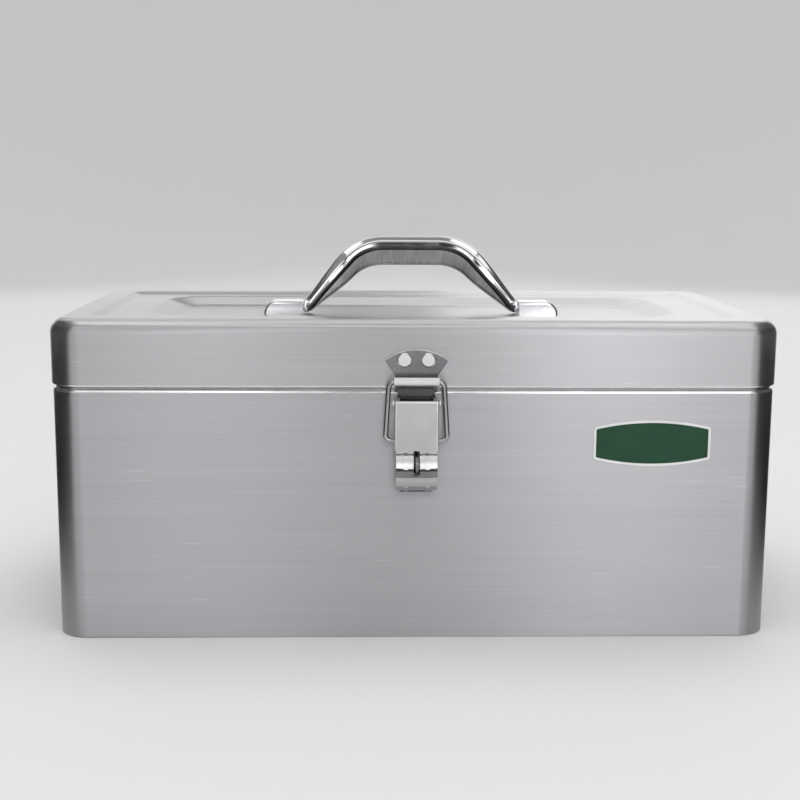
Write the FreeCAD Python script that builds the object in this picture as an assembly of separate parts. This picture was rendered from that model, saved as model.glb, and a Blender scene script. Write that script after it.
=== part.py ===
"""Stainless steel hand tool box: a deep box, a hinged lid with a pressed recess, a fold-down
carrying handle and a toggle latch with a padlock eye.

Millimetres. The origin is the centre of the base, on the surface that the box stands on.
+X is along the length, -Y is the front with the latch, +Z is up.
"""
import FreeCAD, Part
import math
import os

os.makedirs("parts", exist_ok=True)
V = FreeCAD.Vector

# ---------------------------------------------------------------- driving dimensions
length = 360.0            # lid, outside, along X
depth = 175.0             # lid, outside, along Y
height = 160.0            # base to the flat rim of the lid
corner_radius = 16.5      # upright corners of the lid, outside
sheet = 0.8               # steel sheet of box and lid
running_gap = 0.3         # between pieces that move past each other
fit_gap = 0.02            # between a rivet, pin or flange and what holds it
shaft_gap = 0.05          # radial clearance of a pin that something turns on
lap = 0.2                 # how far joined features of one piece run into each other

# box and lid edges
lid_height = 32.7         # skirt edge to rim
seam_gap = 1.0            # daylight between the box shoulder and the lid skirt
body_inset = 0.6          # the box wall stands this far inside the lid skirt
neck_height = 9.5         # stepped-in neck that the lid closes over
neck_gap = 0.6            # between the neck and the folded lid hem
hem_height = 6.0          # folded-in safe edges
lid_top_radius = 7.3      # rounded top edge of the lid
pan_flange = 10.0         # upturned edge of the bottom pan
pan_bend = 1.5
shoulder_bevel = 1.2      # shoulder just under the lid

# pressed top of the lid
rim_width = 10.5          # flat rim between the rounded edge and the first step
step_run = 5.7            # first step, measured flat
step_drop = 1.2
step_corner = 9.0
well_length = 276.0       # second recess, which the handle stands in
well_depth = 108.0
well_run = 13.5
well_drop = 4.0
well_corner = 24.0
step_round = 7.0          # soft upper bend of the first step, on the outside
lid_inner_bevel = 5.0

# handle, a strap arch with eased outer edges and a shallow trough underneath
strap_half_flat = 15.0    # half of the straight grip
strap_bend_radius = 26.0  # to the middle of the strap's thickness
leg_slope = 50.5          # degrees below the grip
strap_height = 35.3       # pivot to the middle of the grip's thickness
strap_thickness = 9.3
strap_half_width = 10.6
strap_outer_round = 2.9   # reach of the two bevels that ease each outer edge
strap_edge = 0.7          # small chamfer along the underside
trough_rim = 0.9
trough_depth = 0.5
foot_half_span = 58.4     # centre to the end face of each foot
foot_radius = 3.3
foot_length = 6.4
trunnion_radius = 2.2
trunnion_length = 9.0
lean_back = 33.0          # degrees from upright, as the handle lies at rest

# handle seats
seat_length = 21.2
seat_width = 14.0
seat_nose = 6.9           # length of the curved outer end
seat_bevel = 1.6
screw_radius = 2.0
screw_head_radius = 4.0   # to the corners of its hexagon
screw_head_height = 2.0
screw_nose_gap = 1.6      # screw axis to the start of the curved end
screw_cover = 2.6         # metal left over the screw's tip
backing_thickness = 1.2
backing_margin = 4.0      # the plate is this much longer than the seat at each end
backing_side_margin = 3.0

# latch
keeper_thickness = 1.0
keeper_tip_half = 15.9    # fan plate, centre to each tip
keeper_tip_above_edge = 13.3
keeper_top_above_edge = 18.8
hook_half_width = 11.0
hook_inner_radius = 2.8
hook_above_edge = 0.8     # lid skirt edge to the underside of the hook
lip_flare = 0.6           # the hook's lip leans out by this much
lip_height = 1.5          # lip above the centre of its curl
keeper_rivet_spacing = 11.6
keeper_rivet_above_edge = 13.7
wire_radius = 1.25
wire_sides = 8            # flats that stand for the round of the wire
wire_bend_runs = 3        # short straight runs that stand for each bend
hook_seat_gap = 0.3       # under the wire, at rest
base_thickness = 1.2
base_half_width = 9.4
base_bottom = 51.0        # box shoulder down to the lower end of the base plate
base_top_gap = 0.8
base_corner = 3.0
base_upper_rivet = 10.5   # below the pivot
base_lower_rivet = 6.5    # above the plate's lower end
pivot_below_shoulder = 6.0
pivot_out = 4.6           # pivot in front of the lid skirt's face
lever_pin_radius = 1.25
lever_sheet = 1.0
lever_face_out = 9.2      # lever face in front of the lid skirt's face
lever_half_width = 10.7
lever_top_above_pivot = 1.7
flange_pivot_reach = 2.4  # lever flange behind the pin, and behind the wire
flange_wire_rise = 3.5
flange_wire_drop = 1.6
pin_head_extra = 0.55
pin_head_height = 0.7
bail_pivot_below = 18.4   # lever pivot down to the wire's pivot
bail_pivot_out = 5.2
bail_half_top = 13.4      # wire centre line at the hook
bail_half_low = 15.2      # and beside the lever's lower end
bail_bend = 3.0
barrel_radius = 10.6      # rolled finger end of the lever
barrel_below_pivot = 32.7
barrel_half_width = 10.0
barrel_upper_turn = 55.0  # degrees above level where the barrel meets the lever's face
barrel_lower_turn = 78.0  # degrees below level where its free edge ends
rib_offset = 5.2
rib_half_width = 1.1
rib_height = 0.9
rib_upper_turn = 50.0     # the embossed ribs run from this far above level
rib_lower_turn = 62.0     # to this far below it
slot_drop = 1.3           # slot's lower end below the barrel's axis
staple_thickness = 1.2
staple_height = 6.6
staple_above_barrel = 1.4  # barrel axis up to the lower edge of the staple
staple_eye_radius = 2.1
staple_slot_width = 3.0
staple_web = 0.4          # barrel to the edge of the padlock eye
staple_nose_extra = 0.6   # the rounded tip is this much bolder than the strip

# rivets
rivet_radius = 1.6
keeper_head_radius = 3.6
keeper_crown_radius = 2.0
keeper_head = 1.1
rivet_tail = 0.9
base_head_radius = 2.8    # smaller heads behind the lever
base_head = 1.0

# hinges
hinge_offset = 105.0      # box centre to each hinge's centre
hinge_width = 40.0
leaf_height = 20.0
leaf_thickness = 1.2
hinge_pin_radius = 1.5
hinge_stand_off = 3.1     # lid skirt's face to the hinge axis
knuckle_gap = 0.4
knuckle_relief = 1.2      # leaf plate starts this far past the knuckle
stop_reach = 7.6          # tab that meets the other leaf when the lid is fully open
stop_width = 10.0

# name plate, left bare
plate_length = 58.0
plate_end_height = 16.0
plate_mid_height = 23.0
plate_thickness = 0.5
plate_centre_x = 116.6
plate_below_shoulder = 26.7
plate_corner = 2.0

# ---------------------------------------------------------------- derived places
half_x = length / 2
half_y = depth / 2
lid_edge = height - lid_height
shoulder = lid_edge - seam_gap
neck_inset = 2 * sheet + neck_gap
front = -half_y                       # outer face of the lid skirt at the latch
box_front = -(half_y - body_inset)
back = half_y
box_back = half_y - body_inset
well_floor = height - step_drop - well_drop
handle_axis = well_floor + foot_radius + running_gap
seat_top = handle_axis + foot_radius
pivot_z = shoulder - pivot_below_shoulder
pivot_y = front - pivot_out
hinge_y = back + hinge_stand_off
hinge_z = lid_edge - seam_gap / 2
knuckle_radius = hinge_pin_radius + shaft_gap + leaf_thickness


# ---------------------------------------------------------------- shared shapes
def rounded_outline(hx, hy, r, z):
    """Closed rectangle with rounded corners, at height z, centred on the axis."""
    edges = []
    corners = [(hx - r, hy - r, 0), (r - hx, hy - r, 90), (r - hx, r - hy, 180), (hx - r, r - hy, 270)]
    for cx, cy, start in corners:
        ends = []
        for turn in (start, start + 45, start + 90):
            a = math.radians(turn)
            ends.append(V(cx + r * math.cos(a), cy + r * math.sin(a), z))
        edges.append(Part.Arc(*ends).toShape())
    joined = []
    for here, following in zip(edges, edges[1:] + edges[:1]):
        joined.append(here)
        joined.append(Part.makeLine(here.valueAt(here.LastParameter),
                                    following.valueAt(following.FirstParameter)))
    return Part.Wire(joined)


def block(hx, hy, r, low, high):
    """Upright prism with rounded corners."""
    face = Part.Face(rounded_outline(hx, hy, r, low))
    return face.extrude(V(0, 0, high - low))


def well(hx, hy, r, run, low, high):
    """Tapered recess cutter: full size at its top, smaller by run at its floor."""
    top = rounded_outline(hx, hy, r, high)
    floor = rounded_outline(hx - run, hy - run, max(r - run, 1.0), low)
    return Part.makeLoft([floor, top], True, True)


def edges_at(shape, z, inside_x, inside_y):
    """Edges that lie flat at height z within a rectangle about the axis."""
    found = []
    for edge in shape.Edges:
        box = edge.BoundBox
        flat = abs(box.ZMin - z) < 1e-4 and abs(box.ZMax - z) < 1e-4
        if flat and box.XMax <= inside_x + 0.01 and box.YMax <= inside_y + 0.01:
            if box.XMin >= -inside_x - 0.01 and box.YMin >= -inside_y - 0.01:
                found.append(edge)
    return found


def cylinder(radius, start, direction, size):
    return Part.makeCylinder(radius, size, start, direction)


def flat_face(corners):
    return Part.Face(Part.makePolygon(corners + corners[:1]))


def side_profile(points, x_low, x_high):
    """Solid cut from a closed outline of (y, z) points, running along X."""
    return flat_face([V(x_low, y, z) for y, z in points]).extrude(V(x_high - x_low, 0, 0))


def rivet(head, place, outward, grip):
    """Adds to a head that sits on the outer face at place a shank through grip and beyond."""
    shank = cylinder(rivet_radius - fit_gap, place - outward * (grip + rivet_tail), outward,
                     grip + rivet_tail + lap)
    return head.fuse(shank)


def keeper_rivets():
    """Low heads with bevelled sides, so that the wire passes over them."""
    rivets = []
    for place in keeper_rivet_places:
        head = Part.makeCone(keeper_head_radius, keeper_crown_radius, keeper_head, place, front_way)
        rivets.append(rivet(head, place, front_way, keeper_thickness + sheet))
    return Part.makeCompound(rivets)


def base_rivets():
    """Flat heads behind the lever."""
    rivets = []
    for place in base_rivet_places:
        head = cylinder(base_head_radius, place, front_way, base_head)
        rivets.append(rivet(head, place, front_way, base_thickness + sheet))
    return Part.makeCompound(rivets)


def rivet_holes(shape, places, direction, reach=6.0):
    for place in places:
        shape = shape.cut(cylinder(rivet_radius, place - direction * reach, direction, 2 * reach))
    return shape


def save(name, shape):
    solids = shape.Solids
    if len(solids) == 1:
        shape = solids[0]
    else:
        shape = Part.makeCompound(solids)
    shape.exportStep("parts/" + name + ".step")
    print(name, len(solids), "solid(s)", round(shape.Volume), "mm3")


# ---------------------------------------------------------------- places of the fasteners
front_way = V(0, -1, 0)
keeper_face = front - keeper_thickness
keeper_rivet_places = [V(side * keeper_rivet_spacing / 2, keeper_face, lid_edge + keeper_rivet_above_edge)
                       for side in (-1, 1)]
base_face = box_front - base_thickness
base_rivet_places = [V(0, base_face, pivot_z - base_upper_rivet),
                     V(0, base_face, shoulder - base_bottom + base_lower_rivet)]
seat_start = foot_half_span + running_gap
screw_x = seat_start + seat_length - seat_nose - screw_nose_gap


# ---------------------------------------------------------------- box
def box_wall():
    """Wrapped wall with a stepped-in neck and a folded-in safe edge."""
    hx, hy, r = half_x - body_inset, half_y - body_inset, corner_radius - body_inset
    outer = block(hx, hy, r, 0, shoulder)
    outer = outer.makeChamfer(shoulder_bevel, edges_at(outer, shoulder, hx, hy))
    nx, ny, nr = half_x - neck_inset, half_y - neck_inset, corner_radius - neck_inset
    neck_top = shoulder + neck_height
    outer = outer.fuse(block(nx, ny, nr, shoulder - sheet, neck_top))
    room = block(hx - sheet, hy - sheet, r - sheet, -1, shoulder - sheet)
    throat = block(nx - sheet, ny - sheet, nr - sheet, shoulder - 2 * sheet, neck_top - hem_height)
    mouth = block(nx - 2 * sheet, ny - 2 * sheet, nr - 2 * sheet, neck_top - 2 * hem_height, neck_top + 1)
    wall = outer.cut([room, throat, mouth]).removeSplitter()
    return rivet_holes(wall, base_rivet_places, front_way)


def box_bottom():
    """Bottom pan, pressed into the wall with its edge turned up."""
    inset = body_inset + sheet + fit_gap
    hx, hy, r = half_x - inset, half_y - inset, corner_radius - inset
    pan = block(hx, hy, r, 0, pan_flange)
    pan = pan.makeChamfer(pan_bend, edges_at(pan, 0, hx, hy))
    inner = block(hx - sheet, hy - sheet, r - sheet, sheet, pan_flange + 1)
    inner = inner.makeChamfer(pan_bend, edges_at(inner, sheet, hx, hy))
    return pan.cut(inner)


# ---------------------------------------------------------------- lid
def pressed_top(solid, top, grow):
    """Cut the two recess steps into a lid block whose flat top is at top.

    grow widens the cutters for the underside of the sheet, so that the sheet keeps its thickness.
    """
    step_x = half_x - lid_top_radius - rim_width + grow
    step_y = half_y - lid_top_radius - rim_width + grow
    step_floor = top - step_drop
    cut = solid.cut(well(step_x, step_y, step_corner + grow, step_run, step_floor, top))
    well_x, well_y = well_length / 2 + grow, well_depth / 2 + grow
    cut = cut.cut(well(well_x, well_y, well_corner + grow, well_run, step_floor - well_drop, step_floor))
    return cut


def soften(lid):
    """Round the upper bend of the first recess step on the outside."""
    step_x, step_y = half_x - lid_top_radius - rim_width, half_y - lid_top_radius - rim_width
    return lid.makeFillet(step_round, edges_at(lid, height, step_x, step_y))


def lid_shell():
    """Drawn lid: rounded top edge, two-step recess, skirt with a folded-in hem."""
    outer = block(half_x, half_y, corner_radius, lid_edge, height)
    outer = outer.makeFillet(lid_top_radius, edges_at(outer, height, half_x, half_y))
    outer = soften(pressed_top(outer, height, 0.0))
    hx, hy, r = half_x - sheet, half_y - sheet, corner_radius - sheet
    room = block(hx, hy, r, lid_edge - 1, height - sheet)
    room = room.makeChamfer(lid_inner_bevel, edges_at(room, height - sheet, hx, hy))
    room = pressed_top(room, height - sheet, sheet / 2)
    hem = block(hx, hy, r, lid_edge, lid_edge + hem_height)
    hem = hem.cut(block(hx - sheet, hy - sheet, r - sheet, lid_edge - 1, lid_edge + hem_height + 1))
    lid = outer.cut(room).fuse(hem).removeSplitter()
    lid = rivet_holes(lid, keeper_rivet_places, front_way)
    for side in (-1, 1):
        lid = lid.cut(cylinder(screw_radius + fit_gap, V(side * screw_x, 0, well_floor - 3), V(0, 0, 1), 6))
    return lid


# ---------------------------------------------------------------- handle
def strap_section(x, z, turn, half):
    """Corners of the strap's cross-section; its outward direction leans turn degrees from upright."""
    a = math.radians(turn)
    rise = strap_thickness / 2

    def at(across, out):
        return V(x + out * math.sin(a), across, z + out * math.cos(a))

    ease = min(strap_outer_round, half - 0.4)
    corner = ease * (1 - math.sqrt(0.5))
    rim = half - strap_edge
    trough = rim - trough_rim
    right = [(half - ease, rise), (half - corner, rise - corner), (half, rise - ease),
             (half, strap_edge - rise), (rim, -rise), (trough, -rise),
             (trough - trough_depth, trough_depth - rise)]
    left = [(-across, out) for across, out in reversed(right)]
    return [at(across, out) for across, out in right + left]


def tapered(first, second):
    """Solid between two outlines with as many corners each, whose sides stay flat."""
    sides = []
    for k in range(len(first)):
        sides.append(flat_face([first[k - 1], first[k], second[k], second[k - 1]]))
    solid = Part.Solid(Part.Shell(sides + [flat_face(first), flat_face(second)]))
    if solid.Volume < 0:
        solid.reverse()
    return solid


def handle():
    """Strap arch: straight grip, two bends, legs that narrow to round feet with trunnions.

    It is drawn upright about its pivot and then leaned back.
    """
    a = math.radians(leg_slope)
    grip = flat_face(strap_section(-strap_half_flat, strap_height, 0, strap_half_width))
    grip = grip.extrude(V(2 * strap_half_flat, 0, 0))
    bend = flat_face(strap_section(strap_half_flat, strap_height, 0, strap_half_width))
    bend = bend.revolve(V(strap_half_flat, 0, strap_height - strap_bend_radius), V(0, 1, 0), leg_slope)
    leg_x = strap_half_flat + strap_bend_radius * math.sin(a)
    leg_z = strap_height - strap_bend_radius * (1 - math.cos(a))
    leg_run = (leg_z - strap_thickness / 2 * math.cos(a)) / math.sin(a)
    low_x = leg_x + leg_run * math.cos(a)
    low_z = leg_z - leg_run * math.sin(a)
    ankle = strap_section(low_x, low_z, leg_slope, foot_radius)
    leg = tapered(strap_section(leg_x, leg_z, leg_slope, strap_half_width), ankle)
    heel = flat_face(ankle).extrude(V(math.cos(a), 0, -math.sin(a)) * strap_thickness)
    leg = leg.fuse(heel)
    far = 4 * strap_thickness
    leg = leg.cut([Part.makeBox(far, far, 2 * far, V(foot_half_span, -far / 2, -far)),
                   Part.makeBox(2 * far, far, far, V(foot_half_span - 1.5 * far, -far / 2, -far))])
    foot = cylinder(foot_radius, V(foot_half_span - foot_length, 0, 0), V(1, 0, 0), foot_length)
    trunnion = cylinder(trunnion_radius, V(foot_half_span - 1, 0, 0), V(1, 0, 0), trunnion_length + 1)
    half = bend.fuse([leg, foot, trunnion])
    other = half.mirror(V(0, 0, 0), V(1, 0, 0))
    strap = grip.fuse([half, other]).removeSplitter()
    strap.rotate(V(0, 0, 0), V(1, 0, 0), -lean_back)
    strap.translate(V(0, 0, handle_axis))
    return strap


def handle_seat(side):
    """Polished hood over one trunnion: flat top, rounded nose, blind bearing hole, screw hole."""
    top = seat_top
    nose_x = seat_start + seat_length - seat_nose
    end_x = seat_start + seat_length
    floor = well_floor
    tall = top - floor
    bend = Part.Arc(V(nose_x, 0, top),
                    V(nose_x + seat_nose * math.sin(math.radians(45)), 0,
                      floor + tall * math.cos(math.radians(45))),
                    V(end_x, 0, floor)).toShape()
    lines = [Part.makeLine(V(end_x, 0, floor), V(seat_start, 0, floor)),
             Part.makeLine(V(seat_start, 0, floor), V(seat_start, 0, top)),
             Part.makeLine(V(seat_start, 0, top), V(nose_x, 0, top))]
    face = Part.Face(Part.Wire(lines + [bend]))
    face.translate(V(0, -seat_width / 2, 0))
    hood = face.extrude(V(0, seat_width, 0))
    long_edges = [edge for edge in hood.Edges
                  if abs(edge.BoundBox.YLength) < 1e-6 and edge.BoundBox.ZMax > top - 1e-3
                  and edge.BoundBox.XLength > 1]
    hood = hood.makeChamfer(seat_bevel, long_edges)
    hood = hood.cut(cylinder(trunnion_radius + shaft_gap, V(seat_start - 1, 0, handle_axis),
                             V(1, 0, 0), trunnion_length + 1.5))
    hood = hood.cut(cylinder(screw_radius + fit_gap, V(screw_x, 0, floor - 1), V(0, 0, 1),
                             1 + tall - screw_cover + 2 * lap))
    if side < 0:
        hood = hood.mirror(V(0, 0, 0), V(1, 0, 0))
    return hood


def handle_backing(side):
    """Stiffening plate under the lid that the seat's screws pull against."""
    half_long = seat_length / 2 + backing_margin
    half_wide = seat_width / 2 + backing_side_margin
    centre = side * (seat_start + seat_length / 2)
    plate = Part.makeBox(2 * half_long, 2 * half_wide, backing_thickness,
                         V(centre - half_long, -half_wide, well_floor - sheet - backing_thickness))
    return plate.cut(cylinder(screw_radius + fit_gap, V(side * screw_x, 0, well_floor - 9), V(0, 0, 1), 12))


def handle_screws():
    """Screws with low hexagon heads, one driven up into each seat from inside the lid."""
    under = well_floor - sheet - backing_thickness
    tip = seat_top - screw_cover
    screws = []
    for side in (-1, 1):
        foot = V(side * screw_x, 0, under)
        shank = cylinder(screw_radius, foot, V(0, 0, 1), tip - under)
        corners = [foot + V(screw_head_radius * math.cos(k * math.pi / 3),
                            screw_head_radius * math.sin(k * math.pi / 3), 0) for k in range(6)]
        head = flat_face(corners).extrude(V(0, 0, -screw_head_height))
        screws.append(head.fuse(shank))
    return Part.makeCompound(screws)


# ---------------------------------------------------------------- latch
hook_centre_y = front - keeper_thickness - hook_inner_radius
hook_centre_z = lid_edge + hook_above_edge + keeper_thickness + hook_inner_radius
wire_rest_y = hook_centre_y
wire_rest_z = hook_centre_z - hook_inner_radius + hook_seat_gap + wire_radius
bail_y = front - bail_pivot_out
bail_z = pivot_z - bail_pivot_below
barrel_y = front - lever_face_out + barrel_radius * math.cos(math.radians(barrel_upper_turn))
barrel_z = pivot_z - barrel_below_pivot


def keeper_plate():
    """Fan-shaped plate on the lid whose lower edge is rolled out and up into a hook."""
    tip_z = lid_edge + keeper_tip_above_edge
    top_z = lid_edge + keeper_top_above_edge
    neck_z = hook_centre_z + lip_height
    arc = Part.Arc(V(-keeper_tip_half, front, tip_z), V(0, front, top_z),
                   V(keeper_tip_half, front, tip_z)).toShape()
    points = [V(keeper_tip_half, front, tip_z), V(hook_half_width, front, neck_z),
              V(hook_half_width, front, hook_centre_z), V(-hook_half_width, front, hook_centre_z),
              V(-hook_half_width, front, neck_z), V(-keeper_tip_half, front, tip_z)]
    lines = [Part.makeLine(a, b) for a, b in zip(points, points[1:])]
    fan = Part.Face(Part.Wire([arc] + lines)).extrude(V(0, -keeper_thickness, 0))
    outer_r = hook_inner_radius + keeper_thickness
    across = V(1, 0, 0)
    start = V(-hook_half_width, hook_centre_y, hook_centre_z)
    curl = cylinder(outer_r, start, across, 2 * hook_half_width)
    curl = curl.cut(cylinder(hook_inner_radius, start, across, 2 * hook_half_width))
    upper = Part.makeBox(2 * hook_half_width, 2 * outer_r + 2, outer_r + 1,
                         V(-hook_half_width, hook_centre_y - outer_r - 1, hook_centre_z))
    curl = curl.cut(upper)
    lip_in = hook_centre_y - hook_inner_radius
    lip_out = hook_centre_y - outer_r
    lip_top = hook_centre_z + lip_height
    lip = side_profile([(lip_in, hook_centre_z), (lip_in - lip_flare, lip_top),
                        (lip_out - lip_flare, lip_top), (lip_out, hook_centre_z)],
                       -hook_half_width, hook_half_width)
    plate = fan.fuse([curl, lip]).removeSplitter()
    return rivet_holes(plate, keeper_rivet_places, front_way)


def latch_base():
    """Base plate on the box with two ears for the lever's pin and a lanced padlock staple."""
    bottom = shoulder - base_bottom
    top = shoulder - base_top_gap
    outline = block(base_half_width, (top - bottom) / 2, base_corner, 0, base_thickness)
    outline.rotate(V(0, 0, 0), V(1, 0, 0), 90)
    outline.translate(V(0, box_front, (top + bottom) / 2))
    ear_radius = lever_face_out - lever_sheet - pivot_out - running_gap
    pieces = [outline]
    for side in (-1, 1):
        x_low = min(side * base_half_width, side * (base_half_width - base_thickness))
        round_end = cylinder(ear_radius, V(x_low, pivot_y, pivot_z), V(1, 0, 0), base_thickness)
        root = base_face + lap
        web = side_profile([(root, pivot_z - ear_radius - base_thickness), (pivot_y, pivot_z - ear_radius),
                            (pivot_y, pivot_z + ear_radius), (root, pivot_z + ear_radius)],
                           x_low, x_low + base_thickness)
        pieces += [round_end, web]
    staple_low = barrel_z + staple_above_barrel
    nose = barrel_y - barrel_radius - running_gap
    eye_y = nose - staple_eye_radius - staple_web
    tip_radius = staple_height / 2
    half_t = staple_thickness / 2
    staple_top = staple_low + staple_height
    pieces.append(side_profile([(base_face + lap, staple_low), (eye_y, staple_low),
                                (eye_y, staple_top), (base_face + lap, staple_top)], -half_t, half_t))
    eye = V(-half_t, eye_y, staple_low + tip_radius)
    pieces.append(cylinder(tip_radius + staple_nose_extra, eye, V(1, 0, 0), staple_thickness))
    base = pieces[0].fuse(pieces[1:]).removeSplitter()
    base = base.cut(cylinder(lever_pin_radius + fit_gap, V(-20, pivot_y, pivot_z), V(1, 0, 0), 40))
    base = base.cut(cylinder(staple_eye_radius, V(-5, eye_y, staple_low + tip_radius), V(1, 0, 0), 10))
    return rivet_holes(base, base_rivet_places, front_way)


def lever_pin():
    """Pin through the ears that the lever turns on, headed at both ends."""
    half = lever_half_width + running_gap
    pin = cylinder(lever_pin_radius, V(-half, pivot_y, pivot_z), V(1, 0, 0), 2 * half)
    heads = []
    for start in (-half - pin_head_height, half):
        heads.append(cylinder(lever_pin_radius + pin_head_extra, V(start, pivot_y, pivot_z), V(1, 0, 0),
                              pin_head_height))
    return pin.fuse(heads)


def latch_lever():
    """Folded lever: flat face, two flanges, and a ribbed barrel rolled at its finger end."""
    face_out = front - lever_face_out
    top = pivot_z + lever_top_above_pivot
    barrel_top = barrel_z + barrel_radius * math.sin(math.radians(barrel_upper_turn))
    flange_low = barrel_top + 1.5
    plate = Part.makeBox(2 * lever_half_width, lever_sheet, top - flange_low,
                         V(-lever_half_width, face_out, flange_low))
    throat = Part.makeBox(2 * barrel_half_width, lever_sheet, flange_low - barrel_top + 0.4,
                          V(-barrel_half_width, face_out, barrel_top - 0.4))
    pieces = [plate, throat]
    reach = bail_y + flange_pivot_reach
    for side in (-1, 1):
        x_low = min(side * lever_half_width, side * (lever_half_width - lever_sheet))
        pieces.append(side_profile([(face_out, top), (pivot_y + flange_pivot_reach, top),
                                    (pivot_y + flange_pivot_reach, pivot_z - flange_wire_rise),
                                    (reach, bail_z + flange_wire_rise), (reach, bail_z - flange_wire_drop),
                                    (face_out, flange_low)],
                                   x_low, x_low + lever_sheet))
    start = V(-barrel_half_width, barrel_y, barrel_z)
    across = V(1, 0, 0)
    roll = cylinder(barrel_radius, start, across, 2 * barrel_half_width)
    roll = roll.cut(cylinder(barrel_radius - lever_sheet, start, across, 2 * barrel_half_width))
    keep = []
    far = 2.5 * barrel_radius
    for share in range(7):
        a = math.radians(-barrel_lower_turn + share / 6 * (barrel_lower_turn + barrel_upper_turn))
        keep.append((barrel_y - far * math.cos(a), barrel_z + far * math.sin(a)))
    sector = side_profile([(barrel_y, barrel_z)] + keep, -barrel_half_width, barrel_half_width)
    pieces.append(roll.common(sector))
    for x in (-rib_offset, rib_offset):
        crest = barrel_y - barrel_radius - rib_height
        foot = barrel_y - barrel_radius + lap
        corners = [V(x - rib_half_width, foot, barrel_z), V(x - rib_half_width, crest, barrel_z),
                   V(x + rib_half_width, crest, barrel_z), V(x + rib_half_width, foot, barrel_z)]
        bead = flat_face(corners)
        bead.rotate(V(x, barrel_y, barrel_z), V(1, 0, 0), -rib_upper_turn)
        bead = bead.revolve(V(x, barrel_y, barrel_z), V(1, 0, 0), rib_upper_turn + rib_lower_turn)
        pieces.append(bead)
    lever = pieces[0].fuse(pieces[1:])
    hollow = cylinder(barrel_radius - lever_sheet, start, across, 2 * barrel_half_width)
    lever = lever.cut(hollow.common(sector))
    slot_low = barrel_z - slot_drop
    slot = Part.makeBox(staple_slot_width, 14, barrel_top + 1.2 - slot_low,
                        V(-staple_slot_width / 2, face_out - 8, slot_low))
    lever = lever.cut(slot)
    lever = lever.cut(cylinder(lever_pin_radius + shaft_gap, V(-20, pivot_y, pivot_z), V(1, 0, 0), 40))
    lever = lever.cut(cylinder(wire_radius + shaft_gap, V(-20, bail_y, bail_z), V(1, 0, 0), 40))
    return lever.removeSplitter()


def bent_path(points, radius):
    """Straight runs joined by bends of one radius, each bend in a few short runs."""
    route = [points[0]]
    for before, corner, after in zip(points, points[1:], points[2:]):
        way_in = (corner - before).normalize()
        way_out = (after - corner).normalize()
        turn = way_in.getAngle(way_out)
        back_off = radius * math.tan(turn / 2)
        centre = corner + (way_out - way_in).normalize() * radius / math.cos(turn / 2)
        start = corner - way_in * back_off - centre
        axis = start.cross(way_in).normalize()
        for step in range(wire_bend_runs + 1):
            spin = FreeCAD.Rotation(axis, math.degrees(turn * step / wire_bend_runs))
            route.append(centre + spin.multVec(start))
    route.append(points[-1])
    return Part.makePolygon(route)


def latch_bail():
    """Wire bail: a bar in the keeper's hook, two legs, and ends that turn into the lever."""
    inside = lever_half_width - lever_sheet - 1.0
    points = [V(-inside, bail_y, bail_z), V(-bail_half_low, bail_y, bail_z),
              V(-bail_half_top, wire_rest_y, wire_rest_z), V(bail_half_top, wire_rest_y, wire_rest_z),
              V(bail_half_low, bail_y, bail_z), V(inside, bail_y, bail_z)]
    path = bent_path(points, bail_bend)
    turns = [2 * math.pi * (k + 0.5) / wire_sides for k in range(wire_sides)]
    ring = [points[0] + V(0, wire_radius * math.cos(a), wire_radius * math.sin(a)) for a in turns]
    section = Part.makePolygon(ring + ring[:1])
    return path.makePipeShell([section], True, True, 1)


# ---------------------------------------------------------------- hinges
def leaf(side, on_lid):
    """One hinge leaf, spot-welded to its wall: a flat plate whose edge curls round the pin."""
    way = 1 if on_lid else -1
    wall = back if on_lid else box_back
    centre = side * hinge_offset
    near = hinge_z + way * (knuckle_radius + knuckle_relief)
    far = hinge_z + way * leaf_height
    half = hinge_width / 2
    tangent = hinge_y - knuckle_radius
    strip = [(wall, far), (wall, near), (tangent, hinge_z), (tangent + leaf_thickness, hinge_z),
             (wall + leaf_thickness, near), (wall + leaf_thickness, far)]
    third = hinge_width / 3
    if on_lid:
        spans = [(centre - third / 2 + knuckle_gap / 2, centre + third / 2 - knuckle_gap / 2)]
    else:
        spans = [(centre - half, centre - third / 2 - knuckle_gap / 2),
                 (centre + third / 2 + knuckle_gap / 2, centre + half)]
    plate_near = near + way * knuckle_relief / 2
    plate = side_profile([(wall, far), (wall, plate_near), (wall + leaf_thickness, plate_near),
                          (wall + leaf_thickness, far)], centre - half, centre + half)
    pieces = []
    for low, high in spans:
        pieces.append(side_profile(strip, low, high))
        pieces.append(cylinder(knuckle_radius, V(low, hinge_y, hinge_z), V(1, 0, 0), high - low))
    if on_lid:
        pieces.append(side_profile([(hinge_y, hinge_z - leaf_thickness / 2),
                                    (hinge_y + stop_reach, hinge_z - leaf_thickness / 2),
                                    (hinge_y + stop_reach, hinge_z + leaf_thickness / 2),
                                    (hinge_y, hinge_z + leaf_thickness / 2)],
                                   centre - stop_width / 2, centre + stop_width / 2))
    shape = plate.fuse(pieces)
    bore = hinge_pin_radius + (shaft_gap if on_lid else fit_gap)
    shape = shape.cut(cylinder(bore, V(centre - half - 1, hinge_y, hinge_z), V(1, 0, 0), hinge_width + 2))
    return shape.removeSplitter()


def hinge_pin(side):
    start = side * hinge_offset - hinge_width / 2
    return cylinder(hinge_pin_radius, V(start, hinge_y, hinge_z), V(1, 0, 0), hinge_width)


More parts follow.
